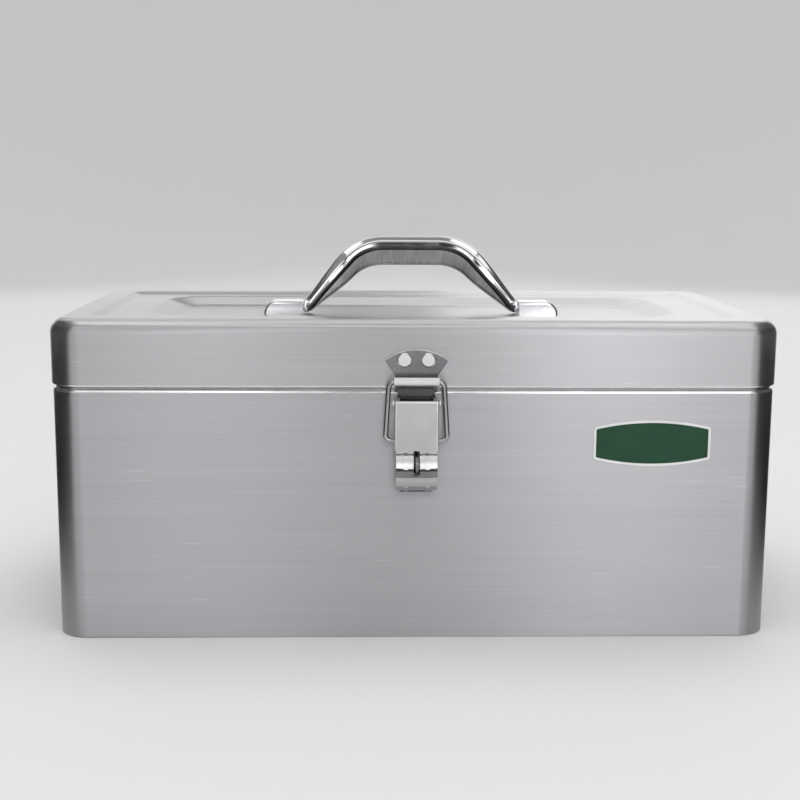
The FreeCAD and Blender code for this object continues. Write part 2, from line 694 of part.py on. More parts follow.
# ---------------------------------------------------------------- name plate
def name_plate():
    """Bare enamelled plate, bowed along its top and bottom edges."""
    half = plate_length / 2
    end = plate_end_height / 2
    mid = plate_mid_height / 2
    y = box_front
    top = Part.Arc(V(-half, y, end), V(0, y, mid), V(half, y, end)).toShape()
    low = Part.Arc(V(half, y, -end), V(0, y, -mid), V(-half, y, -end)).toShape()
    right = Part.makeLine(V(half, y, end), V(half, y, -end))
    left = Part.makeLine(V(-half, y, -end), V(-half, y, end))
    plate = Part.Face(Part.Wire([top, right, low, left])).extrude(V(0, -plate_thickness, 0))
    corners = [edge for edge in plate.Edges if abs(edge.BoundBox.YLength - plate_thickness) < 1e-4
               and edge.BoundBox.XLength < 1e-4 and edge.BoundBox.ZLength < 1e-4]
    plate = plate.makeFillet(plate_corner, corners)
    plate.translate(V(plate_centre_x, 0, shoulder - plate_below_shoulder))
    return plate


# ---------------------------------------------------------------- build
save("box_wall", box_wall())
save("box_bottom", box_bottom())
save("lid_shell", lid_shell())
save("name_plate", name_plate())
save("handle", handle())
for name, side in (("left", -1), ("right", 1)):
    save("handle_seat_" + name, handle_seat(side))
    save("handle_backing_" + name, handle_backing(side))
    save("hinge_" + name + "_box_leaf", leaf(side, False))
    save("hinge_" + name + "_lid_leaf", leaf(side, True))
    save("hinge_" + name + "_pin", hinge_pin(side))
save("handle_seat_screws", handle_screws())
save("keeper_plate", keeper_plate())
save("keeper_rivets", keeper_rivets())
save("latch_base", latch_base())
save("latch_base_rivets", base_rivets())
save("lever_pin", lever_pin())
save("latch_lever", latch_lever())
save("latch_bail", latch_bail())
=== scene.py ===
import bpy
import bmesh
from math import atan2, copysign, cos, degrees, pi, radians, sin, sqrt, tan
from mathutils import Matrix, Vector


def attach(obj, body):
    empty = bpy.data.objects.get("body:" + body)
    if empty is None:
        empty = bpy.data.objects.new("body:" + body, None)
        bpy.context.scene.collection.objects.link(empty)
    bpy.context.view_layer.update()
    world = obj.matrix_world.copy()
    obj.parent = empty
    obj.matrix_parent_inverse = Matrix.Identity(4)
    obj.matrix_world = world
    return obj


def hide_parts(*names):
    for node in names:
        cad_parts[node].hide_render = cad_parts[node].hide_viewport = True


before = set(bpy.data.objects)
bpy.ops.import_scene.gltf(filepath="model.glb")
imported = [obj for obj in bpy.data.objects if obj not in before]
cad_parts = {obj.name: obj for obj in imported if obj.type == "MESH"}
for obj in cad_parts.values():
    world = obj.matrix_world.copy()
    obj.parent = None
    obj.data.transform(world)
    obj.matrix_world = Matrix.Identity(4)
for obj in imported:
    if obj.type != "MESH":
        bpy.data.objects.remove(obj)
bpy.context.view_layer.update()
scene = bpy.context.scene
mm = 0.001  # sizes of pieces are written in millimetres
quarter = radians(90)
print("frame loaded:", len(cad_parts), "CAD nodes")


# node trees: one class for sockets, in shader and geometry trees alike
class Wire:
    def __init__(self, tree, socket=None):
        self.tree = tree
        self.socket = socket

    def node(self, kind, settings=None, inputs=None, out=0):
        made = self.tree.nodes.new(kind)
        for key, value in (settings or {}).items():
            setattr(made, key, value)
        for key, value in (inputs or {}).items():
            for one in value if isinstance(value, list) else [value]:
                if isinstance(one, Wire):
                    self.tree.links.new(one.socket, made.inputs[key])
                else:
                    made.inputs[key].default_value = one
        return Wire(self.tree, made.outputs[out] if made.outputs else None)

    def other(self, name):
        return Wire(self.tree, self.socket.node.outputs[name])

    def sum(self, operation, first, second):
        return self.node("ShaderNodeMath", {"operation": operation}, {0: first, 1: second})

    def __add__(self, value):
        return self.sum("ADD", self, value)

    def __radd__(self, value):
        return self.sum("ADD", value, self)

    def __sub__(self, value):
        return self.sum("SUBTRACT", self, value)

    def __rsub__(self, value):
        return self.sum("SUBTRACT", value, self)

    def __mul__(self, value):
        return self.sum("MULTIPLY", self, value)


def newMaterial(name):
    material = bpy.data.materials.new(name)
    material.use_nodes = True
    material.node_tree.nodes.clear()
    return material, Wire(material.node_tree)


def endMaterial(net, inputs):
    shader = net.node("ShaderNodeBsdfPrincipled", inputs=inputs)
    net.node("ShaderNodeOutputMaterial", inputs={"Surface": shader})


def noise(net, scale, detail=2.0, rough=0.5):
    # a number as the scale stands for all three axes
    scale = scale if isinstance(scale, tuple) else (scale,) * 3
    at = net.node("ShaderNodeTexCoord").other("Object")
    at = net.node("ShaderNodeMapping", {"vector_type": "POINT"}, {"Vector": at, "Scale": scale})
    return net.node("ShaderNodeTexNoise", {"noise_dimensions": "3D"},
                    {"Vector": at, "Scale": 1.0, "Detail": detail, "Roughness": rough})


def band(net, value, limits):
    # soft step from 0 at the lower limit to 1 at the upper one
    return net.node("ShaderNodeMapRange", {"interpolation_type": "SMOOTHSTEP"}, {
        "Value": value, "From Min": limits[0], "From Max": limits[1], "To Min": 0.0, "To Max": 1.0})


def shadeMix(net, factor, first, second):
    return net.node("ShaderNodeMix", {"data_type": "RGBA"}, {0: factor, 6: first, 7: second}, out=2)


def bumped(net, height, strength, distance, under=None):
    inputs = {"Strength": strength, "Distance": distance, "Height": height}
    if under is not None:
        inputs["Normal"] = under
    return net.node("ShaderNodeBump", inputs=inputs)


def mixed(layers, shares):
    total = layers[0] * shares[0]
    for layer, share in zip(layers[1:], shares[1:]):
        total = total + layer * share
    return total


# brushed sheet: "across" is the axis that crosses the grain
brushedSpec = {
    "wall": {"light": (0.530, 0.524, 0.546, 1), "dark": (0.480, 0.474, 0.496, 1)},
    "lidSkirt": {"light": (0.560, 0.554, 0.574, 1), "dark": (0.510, 0.504, 0.524, 1)},
    # the lid top's lighter tones are painted light: the same sheet as the skirt, made lighter where it
    # faces up
    "lidTop": {"light": (0.690, 0.688, 0.698, 1), "dark": (0.640, 0.638, 0.648, 1), "across": 1,
               "rough": 0.30, "spread": 0.08, "anisotropy": 0.0, "relief": 0.30},
}
brushedDetail = {  # every noise is (scale, detail, roughness)
    "across": 2, "rough": 0.405, "spread": 0.10, "anisotropy": 0.92, "turn": 0.25, "relief": 0.35,
    # lines per metre across the grain, how many times longer they are along it, detail
    "hair": (2600.0, 260.0, 3.0), "streak": (420.0, 90.0, 2.0), "draw": (70.0, 14.0, 2.0),
    "scratch": (900.0, 22.0, 1.0), "grainRough": 0.6, "grainDepth": 0.00003, "toneBand": (0.36, 0.64),
    "scratchBand": (0.735, 0.80), "scratchShow": 0.35, "scratchTone": (0.78, 0.78, 0.79, 1),
    "scratchPolish": 0.05, "handled": (9, 3.0, 0.55), "handledSpread": 0.10,
    "toneShares": (0.60, 0.22, 0.18), "reliefShares": (0.6, 0.4, 0.5),
    # the sheet is never quite flat
    "swell": ((7, 7, 11), 1.0, 0.4), "swellStrength": 0.35, "swellDepth": 0.0007,
}


def brushedSteel(name, own):
    spec = {**brushedDetail, **own}
    material, net = newMaterial(name)

    def grain(kind):
        pitch, longer, detail = spec[kind]
        scale = tuple(pitch if axis == spec["across"] else pitch / longer for axis in range(3))
        return noise(net, scale, detail, spec["grainRough"])

    hair, streak, draw = grain("hair"), grain("streak"), grain("draw")
    handled = noise(net, *spec["handled"])
    scratch = band(net, grain("scratch"), spec["scratchBand"])
    tone = mixed((hair, streak, draw), spec["toneShares"])
    colour = shadeMix(net, band(net, tone, spec["toneBand"]), spec["dark"], spec["light"])
    colour = shadeMix(net, scratch * spec["scratchShow"], colour, spec["scratchTone"])
    rough = spec["rough"] + (tone - 0.5) * spec["spread"] + (handled - 0.5) * spec["handledSpread"]
    relief = mixed((hair, streak, scratch), spec["reliefShares"])
    lines = bumped(net, relief, spec["relief"], spec["grainDepth"])
    swell = noise(net, *spec["swell"])
    endMaterial(net, {
        "Base Color": colour, "Metallic": 1.0, "Roughness": rough - scratch * spec["scratchPolish"],
        "Anisotropic": spec["anisotropy"], "Anisotropic Rotation": spec["turn"],
        "Normal": bumped(net, swell, spec["swellStrength"], spec["swellDepth"], lines)})
    return material


# plated or mill finish: soft clouds, small pits and fine scuffs in every direction
platedSpec = {
    # finish: material, light tone, dark tone, roughness and what differs from the detail below
    "inside": ("insideSteel", (0.60, 0.60, 0.61), (0.50, 0.50, 0.51), 0.38,
               {"cloud": (14.0, 4.0, 0.6), "pit": 0.2, "scuff": 0.5}),
    # the bend's light tone is painted highlight, its low roughness the polish of the rolled sheet
    "bend": ("bendPolish", (0.86, 0.86, 0.87), (0.78, 0.78, 0.79), 0.17),
    # near black: painted shade and painted dark reflection, on the latch base and beside the grip's
    # satin underside
    "shade": ("shadedPlate", (0.10, 0.10, 0.105), (0.08, 0.08, 0.085), 0.16),
    # dark grey is painted dark reflection on the latch plate and painted shade round the heads of the
    # rivets over it
    "keeper": ("keeperPlate", (0.26, 0.26, 0.27), (0.21, 0.21, 0.22), 0.26),
    "wire": ("wirePlate", (0.44, 0.44, 0.45), (0.36, 0.36, 0.37), 0.10),
    # polish of rivets and pins, and the painted highlight on broken edges, folds and bright bands
    "rivet": ("rivetPolish", (0.90, 0.90, 0.91), (0.80, 0.80, 0.81), 0.34),
    "lever": ("leverPlate", (0.58, 0.575, 0.585), (0.50, 0.495, 0.505), 0.13),
    "zinc": ("zincPlate", (0.60, 0.60, 0.62), (0.48, 0.48, 0.50), 0.34),
    # dark tone: a painted dark reflection band across the lever's bulge
    "barrel": ("barrelPlate", (0.26, 0.26, 0.27), (0.20, 0.20, 0.21), 0.15),
}
platedDetail = {
    "cloud": (45.0, 4.0, 0.6), "cloudBand": (0.35, 0.68), "cloudSpread": 0.10, "grit": (1900,),
    "pit": 0.15, "pitDepth": 0.00002, "rub": ((160, 1500, 900),), "rubBand": (0.60, 0.74),
    "rubShow": 0.4, "rubRelief": 0.4, "rubLighter": 1.15, "rubSpread": 0.10, "scuff": 0.3,
}


def platedSteel(name, light, dark, rough, own=None):
    spec = {**platedDetail, **(own or {})}
    material, net = newMaterial(name)
    clouds = noise(net, *spec["cloud"])
    rub = noise(net, *spec["rub"])
    marks = band(net, rub, spec["rubBand"]) * spec["scuff"]
    rubbed = (*(min(1, c * spec["rubLighter"]) for c in light), 1)
    colour = shadeMix(net, band(net, clouds, spec["cloudBand"]), (*dark, 1), (*light, 1))
    relief = noise(net, *spec["grit"]) + rub * spec["rubRelief"]
    endMaterial(net, {
        "Base Color": shadeMix(net, marks * spec["rubShow"], colour, rubbed), "Metallic": 1.0,
        "Roughness": rough + (clouds - 0.5) * spec["cloudSpread"] + marks * spec["rubSpread"],
        "Normal": bumped(net, relief, spec["pit"], spec["pitDepth"])})
    return material


chromeSpec = {
    "light": (0.84, 0.84, 0.86, 1), "dark": (0.72, 0.72, 0.74, 1), "rough": 0.07,
    "haze": (30, 3.0, 0.6), "hazeBand": (0.45, 0.75), "hazeSpread": 0.06,
    "wipe": ((240, 2400, 2400),), "wipeBand": (0.62, 0.75), "wipeSpread": 0.05,
    "relief": 0.10, "wipeDepth": 0.00001,
}


def chromePlate():
    spec = chromeSpec
    material, net = newMaterial("handleChrome")
    haze = noise(net, *spec["haze"])
    wipe = band(net, noise(net, *spec["wipe"]), spec["wipeBand"])
    rough = spec["rough"] + band(net, haze, spec["hazeBand"]) * spec["hazeSpread"]
    endMaterial(net, {
        "Base Color": shadeMix(net, haze, spec["dark"], spec["light"]), "Metallic": 1.0,
        "Roughness": rough + wipe * spec["wipeSpread"],
        "Normal": bumped(net, wipe, spec["relief"], spec["wipeDepth"])})
    return material


satinSpec = {  # the underside of the grip, rubbed crosswise
    "light": (0.62, 0.62, 0.63, 1), "dark": (0.40, 0.40, 0.41, 1), "rough": 0.30, "spread": 0.2,
    "rubs": (((1500, 60, 60), 3.0, 0.6), ((260, 30, 30),)), "shares": (0.55, 0.45),
    "toneBand": (0.36, 0.66), "relief": 0.4, "depth": 0.00004,
}


def satinChrome():
    spec = satinSpec
    material, net = newMaterial("handleSatin")
    tone = mixed([noise(net, *row) for row in spec["rubs"]], spec["shares"])
    endMaterial(net, {
        "Base Color": shadeMix(net, band(net, tone, spec["toneBand"]), spec["dark"], spec["light"]),
        "Metallic": 1.0, "Roughness": spec["rough"] + (tone - 0.5) * spec["spread"],
        "Normal": bumped(net, tone, spec["relief"], spec["depth"])})
    return material


enamelSpec = {
    "green": {"light": (0.000, 0.056, 0.020, 1), "dark": (0.000, 0.044, 0.015, 1)},
    "white": {"light": (0.86, 0.87, 0.86, 1), "dark": (0.78, 0.79, 0.78, 1)},
}
enamelDetail = {
    "flow": (110, 3.0), "flowBand": (0.3, 0.7), "rough": 0.30, "spread": 0.12, "coat": 0.15,
    "coatRough": 0.12, "specular": 0.35, "peel": (900, 1.0, 0.4), "relief": 0.12, "peelDepth": 0.00003,
}


def enamel(name, tones):
    spec = enamelDetail
    material, net = newMaterial(name)
    flow = noise(net, *spec["flow"])
    peel = noise(net, *spec["peel"])
    endMaterial(net, {
        "Base Color": shadeMix(net, band(net, flow, spec["flowBand"]), tones["dark"], tones["light"]),
        "Roughness": spec["rough"] + (flow - 0.5) * spec["spread"], "Coat Weight": spec["coat"],
        "Coat Roughness": spec["coatRough"], "Specular IOR Level": spec["specular"],
        "Normal": bumped(net, peel, spec["relief"], spec["peelDepth"])})
    return material


finishes = {key: brushedSteel(key + "Steel", spec) for key, spec in brushedSpec.items()}
finishes.update({key: platedSteel(*row) for key, row in platedSpec.items()})
finishes.update({"chrome": chromePlate(), "satin": satinChrome()})
finishes.update({key: enamel(key + "Enamel", tones) for key, tones in enamelSpec.items()})
print("finishes:", len(finishes))


# meshes
def addObject(name, mesh):
    made = bpy.data.objects.new(name, mesh)
    scene.collection.objects.link(made)
    return made


def bakeDown(piece):
    # modifiers become plain mesh
    view = bpy.context.evaluated_depsgraph_get()
    view.update()
    flat = bpy.data.meshes.new_from_object(piece.evaluated_get(view), preserve_all_data_layers=True,
                                           depsgraph=view)
    old = piece.data
    piece.modifiers.clear()
    piece.data = flat
    flat.name = piece.name
    if old.users == 0:
        bpy.data.meshes.remove(old)


def settle(piece, sharp=40.0):
    # smooth bends, and flats that keep flat shading next to them
    mesh = piece.data
    for polygon in mesh.polygons:
        polygon.use_smooth = True
    mesh.set_sharp_from_angle(angle=radians(sharp))
    weigh = piece.modifiers.new("weigh", "WEIGHTED_NORMAL")
    weigh.keep_sharp = True
    weigh.mode = "FACE_AREA"
    bakeDown(piece)
    return piece


def tidyNormals(mesh, near=1e-7):
    shape = bmesh.new()
    shape.from_mesh(mesh)
    bmesh.ops.remove_doubles(shape, verts=shape.verts, dist=near)
    bmesh.ops.recalc_face_normals(shape, faces=shape.faces)
    shape.to_mesh(mesh)
    shape.free()


def paint(mesh, names):
    for name in names:
        mesh.materials.append(finishes[name])


def loft(name, rings, finish, slots=lambda level, k: 0):
    # closed skin over rings with the same number of points; slots gives a finish index for each face
    count = len(rings[0])
    verts = [tuple(c * mm for c in point) for ring in rings for point in ring]
    faces, kinds = [], []
    for level in range(len(rings) - 1):
        for k in range(count):
            following = (k + 1) % count
            a, b = level * count, (level + 1) * count
            faces.append((a + k, a + following, b + following, b + k))
            kinds.append(slots(level, k))
    last = (len(rings) - 1) * count
    faces.append(tuple(range(count - 1, -1, -1)))
    faces.append(tuple(range(last, last + count)))
    kinds += [slots(0, -1), slots(len(rings) - 2, -1)]
    mesh = bpy.data.meshes.new(name)
    mesh.from_pydata(verts, [], faces)
    paint(mesh, finish)
    for polygon, kind in zip(mesh.polygons, kinds):
        polygon.material_index = kind
    tidyNormals(mesh)
    return settle(addObject(name, mesh))


def finished(piece, body, slot, *nodes):
    if nodes:
        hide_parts(*nodes)
    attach(piece, body)
    print(piece.name + ":", len(piece.data.polygons), "faces")


def turns(steps, first=0.0, last=90.0):
    # the angles of an arc in even steps, from limits in degrees
    return [radians(first + (last - first) * k / steps) for k in range(steps + 1)]


def arc(x, z, across, up, steps, first=0.0, last=90.0):
    # points round (x, z), from straight up at 0 degrees to straight across at 90
    return [(x + across * sin(turn), z + up * cos(turn)) for turn in turns(steps, first, last)]


def outline(halfX, halfY, radius, z, perCorner=14):
    # rounded rectangle, counter-clockwise
    return [(x, y, z) for signX, signY, start in ((1, 1, 90), (-1, 1, 0), (-1, -1, -90), (1, -1, -180))
            for x, y in arc(signX * (halfX - radius), signY * (halfY - radius), radius, radius,
                            perCorner, start, start - 90)]


def softStep(run, drop, bend, count, margin=0.6):
    # (distance, height) of a slope between two levels, with round bends at both ends
    slope = atan2(drop, run)
    lead = bend * tan(slope / 2)
    points = [(-lead - margin, 0.0)]
    for k in range(count + 1):
        turn = slope * k / count
        points.append((bend * sin(turn) - lead, -bend * (1 - cos(turn))))
    for k in range(count + 1):
        turn = slope * (1 - k / count)
        points.append((run + lead - bend * sin(turn), bend * (1 - cos(turn)) - drop))
    points.append((run + lead + margin, -drop))
    return points


# geometry node trees
def newTree(name, numbers):
    # gives the tree's net, its input node and a socket for each number
    tree = bpy.data.node_groups.new(name, "GeometryNodeTree")
    face = tree.interface
    face.new_socket("Geometry", in_out="INPUT", socket_type="NodeSocketGeometry")
    for label, start in numbers.items():
        kind = "NodeSocket" + {int: "Int", tuple: "Vector"}.get(type(start), "Float")
        face.new_socket(label, in_out="INPUT", socket_type=kind).default_value = start
    face.new_socket("Finish", in_out="INPUT", socket_type="NodeSocketMaterial")
    face.new_socket("Geometry", in_out="OUTPUT", socket_type="NodeSocketGeometry")
    net = Wire(tree)
    source = net.node("NodeGroupInput")
    return net, source, [source.other(label) for label in numbers]


def endTree(net, source, shape):
    whole = net.node("GeometryNodeRealizeInstances", inputs={"Geometry": shape})
    painted = net.node("GeometryNodeSetMaterial", inputs={
        "Geometry": whole, "Material": source.other("Finish")})
    net.node("NodeGroupOutput", inputs={"Geometry": painted})
    return net.tree


def rounded(net, curve, radius, count):
    return net.node("GeometryNodeFilletCurve", {"mode": "POLY"},
                    {"Curve": curve, "Count": count, "Radius": radius, "Limit Radius": True})


def grow(name, tree, points, edges, values, finish, sharp=40.0):
    # runs a tree on a mesh of points and keeps the result as a plain mesh
    mesh = bpy.data.meshes.new(name)
    mesh.from_pydata([tuple(c * mm for c in point) for point in points], edges, [])
    piece = addObject(name, mesh)
    nodes = piece.modifiers.new("nodes", "NODES")
    nodes.node_group = tree
    sockets = {item.name: item.identifier for item in tree.interface.items_tree
               if item.item_type == "SOCKET" and item.in_out == "INPUT"}
    for label, value in values.items():
        nodes[sockets[label]] = value
    nodes[sockets["Finish"]] = finishes[finish]
    bakeDown(piece)
    tidyNormals(piece.data)
    return settle(piece, sharp)


def sweptWallTree():
    # the object's own edge loop is the section (outward, up), swept round a rounded rectangle
    net, source, (length, width, corner, count) = newTree("sweptWall", {
        "Length": 0.36, "Width": 0.175, "Corner": 0.016, "Corner points": 14})
    section = net.node("GeometryNodeMeshToCurve", inputs={"Mesh": source})
    track = net.node("GeometryNodeCurvePrimitiveQuadrilateral",
                     inputs={"Width": length, "Height": width})
    return endTree(net, source, net.node("GeometryNodeCurveToMesh", inputs={
        "Curve": rounded(net, track, corner, count), "Profile Curve": section}))


def bentWireTree():
    net, source, (size, bend, count, sides) = newTree("bentWire", {
        "Wire radius": 0.00125, "Bend radius": 0.003, "Bend points": 9, "Sides": 28})
    line = net.node("GeometryNodeMeshToCurve", inputs={"Mesh": source})
    ring = net.node("GeometryNodeCurvePrimitiveCircle", {"mode": "RADIUS"},
                    {"Resolution": sides, "Radius": size})
    return endTree(net, source, net.node("GeometryNodeCurveToMesh", inputs={
        "Curve": rounded(net, line, bend, count), "Profile Curve": ring, "Fill Caps": True}))


# shared by all studs: the dome's mesh, where it is cut, the shank's sides and its start in metres
studDetail = {"segments": 40, "rings": 24, "cutBelow": -0.02, "shankSides": 24, "intoHead": 0.00015,
              "merge": 0.000002}


def studTree():
    # one head and shank at each point of the object's mesh
    spec = studDetail
    net, source, (radius, rise, edge, shank, length, turn, domed, sides) = newTree("studs", {
        "Head radius": 0.0035, "Rise": 0.0013, "Edge": 0.0002, "Shank radius": 0.0015,
        "Shank length": 0.003, "Turn": (0.0, 0.0, 0.0), "Domed": 1.0, "Sides": 48})

    def lifted(shape, height):
        up = net.node("ShaderNodeCombineXYZ", inputs={2: height})
        return net.node("GeometryNodeTransform", inputs={"Geometry": shape, "Translation": up})

    def drum(count, size, depth):
        return net.node("GeometryNodeMeshCylinder", {"fill_type": "NGON"},
                        {"Vertices": count, "Radius": size, "Depth": depth})

    def joined(first, second):
        return net.node("GeometryNodeJoinGeometry", inputs={"Geometry": [first, second]})

    ball = net.node("GeometryNodeMeshUVSphere", inputs={
        "Segments": spec["segments"], "Rings": spec["rings"], "Radius": 1.0})
    height = net.node("ShaderNodeSeparateXYZ",
                      inputs={0: net.node("GeometryNodeInputPosition")}).other("Z")
    ball = net.node("GeometryNodeDeleteGeometry", {"domain": "POINT"}, {
        "Geometry": ball, "Selection": net.sum("LESS_THAN", height, spec["cutBelow"])})
    scale = net.node("ShaderNodeCombineXYZ", inputs={0: radius, 1: radius, 2: rise})
    ball = net.node("GeometryNodeTransform", inputs={"Geometry": ball, "Scale": scale})
    brim = net.node("GeometryNodeMeshCone", {"fill_type": "NGON"}, {
        "Vertices": sides, "Radius Top": radius - edge, "Radius Bottom": radius, "Depth": edge})
    flat = joined(lifted(drum(sides, radius, rise - edge), (rise - edge) * 0.5),
                  lifted(brim, rise - edge))
    flat = net.node("GeometryNodeMergeByDistance", inputs={"Geometry": flat, "Distance": spec["merge"]})
    head = net.node("GeometryNodeSwitch", {"input_type": "GEOMETRY"},
                    {"Switch": net.sum("GREATER_THAN", domed, 0.5), "False": flat, "True": ball})
    peg = lifted(drum(spec["shankSides"], shank, length), spec["intoHead"] - length * 0.5)
    turned = net.node("FunctionNodeEulerToRotation", inputs={"Euler": turn})
    return endTree(net, source, net.node("GeometryNodeInstanceOnPoints", inputs={
        "Points": source, "Instance": joined(head, peg), "Rotation": turned}))


trees = {"wall": sweptWallTree(), "wire": bentWireTree(), "studs": studTree()}
print("node trees:", len(trees))

# sizes that several pieces share, in millimetres
shell = {
    "halfLength": 180.0, "halfDepth": 87.5, "corner": 16.5, "leastCorner": 0.8, "sheet": 0.8,
    "lidEdge": 127.3, "top": 160.0, "bodyInset": 0.6, "shoulder": 126.3, "neckGap": 0.6,
    "hem": 6.0, "neckTop": 135.8, "foldSteps": 6,
}


def insetRing(inset, z, base=None):
    hx, hy, r = base or (shell["halfLength"], shell["halfDepth"], shell["corner"])
    return outline(hx - inset, hy - inset, max(r - inset, shell["leastCorner"]), z)


def foldedEdge(inset, z, way):
    # half-round fold of a safe edge: from the outer face to the folded-in face
    s = shell["sheet"]
    return arc(inset + s, z, -s, way * s, shell["foldSteps"], 90.0, -90.0)


# box wall: one section swept round the box
wallSpec = {
    "shoulderRadius": 2.0, "shoulderSteps": 7, "neckFillet": 0.5, "neckSteps": 3, "footRadius": 0.35,
    "footEase": 0.3, "footFlat": 1.0, "hemEase": 0.2,
    "innerNeck": ((0.0, 0.6), (0.4, 0.1)), "innerShoulder": ((0.6, 0.4), (0.0, 1.4)),
    "trackCorner": 1.0, "cornerPoints": 16, "sharp": 50.0,
    "bendBelow": 0.95, "bendHalf": 1.0,  # where the polished bend with its painted highlight lies, from the shoulder's height
}


def wallSection():
    # (inset, height) points: up the outside, over the fold and down the inside
    spec, s, rim = wallSpec, shell["sheet"], shell["bodyInset"]
    neck = 2 * s + shell["neckGap"]
    top, shoulder = shell["neckTop"], shell["shoulder"]
    big, small, foot = spec["shoulderRadius"], spec["neckFillet"], spec["footRadius"]
    ease = foot * spec["footEase"]
    points = [(rim + foot, 0.0), (rim + ease, ease), (rim, foot), (rim, foot + spec["footFlat"])]
    for turn in turns(spec["shoulderSteps"]):
        across = min(big * (1 - cos(turn)), neck - rim - small)
        points.append((rim + across, shoulder - big + big * sin(turn)))
    points += arc(neck - small, shoulder + small, small, -small, spec["neckSteps"])
    points += foldedEdge(neck, top - s, 1)
    inner, hemEnd, under = neck + 2 * s, top - shell["hem"], shoulder - s
    points += [(inner, hemEnd + spec["hemEase"]), (inner - spec["hemEase"], hemEnd), (neck + s, hemEnd)]
    points += [(neck + s - out, under - down) for out, down in spec["innerNeck"]]
    points += [(rim + s + inward, under - down) for inward, down in spec["innerShoulder"]]
    return points + [(rim + s, 0.0)]


def lineWall(piece):
    # faces that look towards the middle take the second finish, the shoulder's bend the third: polish
    # with a painted highlight
    slight, upward = 1e-5, 0.5
    core = [(shell[key] - shell["corner"]) * mm for key in ("halfLength", "halfDepth")]
    for polygon in piece.data.polygons:
        middle = polygon.center
        reach = [copysign(max(abs(at) - limit, 0), at) for at, limit in zip(middle, core)]
        facing = polygon.normal.dot(Vector((*reach, 0)))
        outside = facing > slight or polygon.normal.z > upward
        below = shell["shoulder"] - middle.z / mm
        rolled = abs(below - wallSpec["bendBelow"]) < wallSpec["bendHalf"] and outside
        polygon.material_index = 1 if facing < -slight else 2 if rolled else 0


def makeWall():
    spec = wallSpec
    mid = shell["corner"] - spec["trackCorner"]
    points = [(mid - inset, -z, 0) for inset, z in wallSection()]
    edges = [(k, (k + 1) % len(points)) for k in range(len(points))]
    piece = grow("boxWall", trees["wall"], points, edges, {
        "Length": 2 * (shell["halfLength"] - mid) * mm, "Width": 2 * (shell["halfDepth"] - mid) * mm,
        "Corner": spec["trackCorner"] * mm, "Corner points": spec["cornerPoints"]},
        "wall", spec["sharp"])
    paint(piece.data, ("inside", "bend"))
    lineWall(piece)
    return piece


finished(makeWall(), "box", "body_steel", "box_wall")


# bottom pan, pressed up inside the wall
panSpec = {"bend": 1.6, "bendSteps": 5, "flange": 10.0, "gap": 0.02, "edgeEase": 0.1,
           "edgeFlat": 0.6, "flat": 9.0}


def makePan():
    spec, s, bend, top = panSpec, shell["sheet"], panSpec["bend"], panSpec["flange"]
    start = shell["bodyInset"] + s + spec["gap"]
    ease, lip = spec["edgeEase"], start + spec["flat"]
    profile = [(lip, s)] + arc(start + bend, bend, s - bend, s - bend, spec["bendSteps"])
    profile += [(start + s, top - ease), (start + s / 2, top), (start + ease, top - ease),
                (start, top - spec["edgeFlat"])]
    profile += arc(start + bend, bend, -bend, -bend, spec["bendSteps"], 90.0, 0.0) + [(lip, 0.0)]
    return loft("bottomPan", [insetRing(inset, z) for inset, z in profile], ["inside"])


finished(makePan(), "box", "body_steel", "box_bottom")


# lid: two pressed steps, rolled top edge, skirt with a folded-in hem
lidSpec = {
    "edgeRadius": 7.3, "rim": 10.5, "rimFlat": 0.6, "stepRun": 5.7, "stepDrop": 1.2, "stepCorner": 9.0,
    "stepBend": 7.0, "stepSteps": 5, "wellHalf": (138.0, 54.0), "wellCorner": 24.0, "wellRun": 13.5,
    "wellDrop": 4.0, "wellBend": 14.0, "wellSteps": 7, "outerSteps": 12, "innerSteps": 9,
    "topSteps": 9,  # rings past the pressing that still wear the lid top's finish
    # the hem's end: (sheets inward, more in mm, above the end)
    "hem": ((2, 0.0, -0.25), (2, -0.12, 0.0), (1, 0.04, 0.0), (1, 0.0, 0.1)),
}


def pressing(sink, shrink):
    # rings of the pressed top from its rim to the middle, lowered by sink
    spec = lidSpec
    top = shell["top"] - sink
    start = spec["edgeRadius"] + spec["rim"] - shrink
    stepBase = (shell["halfLength"] - start, shell["halfDepth"] - start, spec["stepCorner"])
    wellBase = (spec["wellHalf"][0] + shrink, spec["wellHalf"][1] + shrink, spec["wellCorner"])
    rings = []
    for kind, base, level in (("step", stepBase, top), ("well", wellBase, top - spec["stepDrop"])):
        run, drop, bend, steps = (spec[kind + key] for key in ("Run", "Drop", "Bend", "Steps"))
        rings += [insetRing(inset, level + down, base)
                  for inset, down in softStep(run, drop, bend, steps)]
    return rings


def makeLid():
    spec, s, edge, top = lidSpec, shell["sheet"], shell["lidEdge"], shell["top"]
    radius = spec["edgeRadius"]
    pressed = pressing(0.0, 0.0)
    outer = [(radius + spec["rimFlat"], top)]
    outer += arc(radius, top - radius, -radius, radius, spec["outerSteps"])
    fold = foldedEdge(0, edge + s, -1)
    hem = [(sheets * s + more, edge + shell["hem"] + up) for sheets, more, up in spec["hem"]]
    inner = arc(radius, top - radius, s - radius, radius - s, spec["innerSteps"], 90.0, 0.0)
    rings = [insetRing(inset, z) for inset, z in outer + fold + hem + inner]
    topEnd = len(pressed) + spec["topSteps"]
    foldStart = len(pressed) + len(outer)
    foldEnd = foldStart + len(fold) - 1

    # the hem's fold takes the bend finish: polish with a painted highlight
    def side(level, k):
        return 0 if level < topEnd else 1 if level < foldStart else 3 if level < foldEnd else 2

    return loft("lidShell", pressed[::-1] + rings + pressing(s, s / 2),
                ["lidTop", "lidSkirt", "inside", "bend"], side)


finished(makeLid(), "lid", "lid_steel", "lid_shell")


